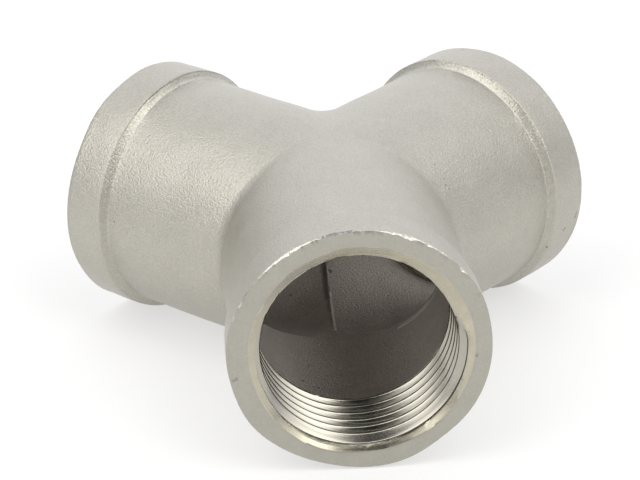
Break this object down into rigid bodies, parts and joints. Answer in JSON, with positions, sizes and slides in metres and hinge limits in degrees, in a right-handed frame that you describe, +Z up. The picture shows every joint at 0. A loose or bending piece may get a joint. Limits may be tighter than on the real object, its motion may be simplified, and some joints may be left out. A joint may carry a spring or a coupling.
{
  "type": "pipe y fitting",
  "caption": "Cast stainless steel Y pipe fitting with equal female threaded collars on all legs: a single leg opposite a pair spread at a right angle.",
  "frame": {"origin": "middle of the footprint, on the surface that the three collars lie on", "axes": "+Z up, perpendicular to the plane of the three legs; -Y along the single front leg, out of its mouth; +X to the right, across the two rear legs"},
  "size_m": [0.0674, 0.0654, 0.032],
  "materials": {
    "cast_steel": "bead-blasted and pickled casting, satin and faintly grainy, with turned bright mouths and threads"
  },
  "bodies": {
    "root": {"y_fitting": "cast_steel"}
  },
  "joints": []
}
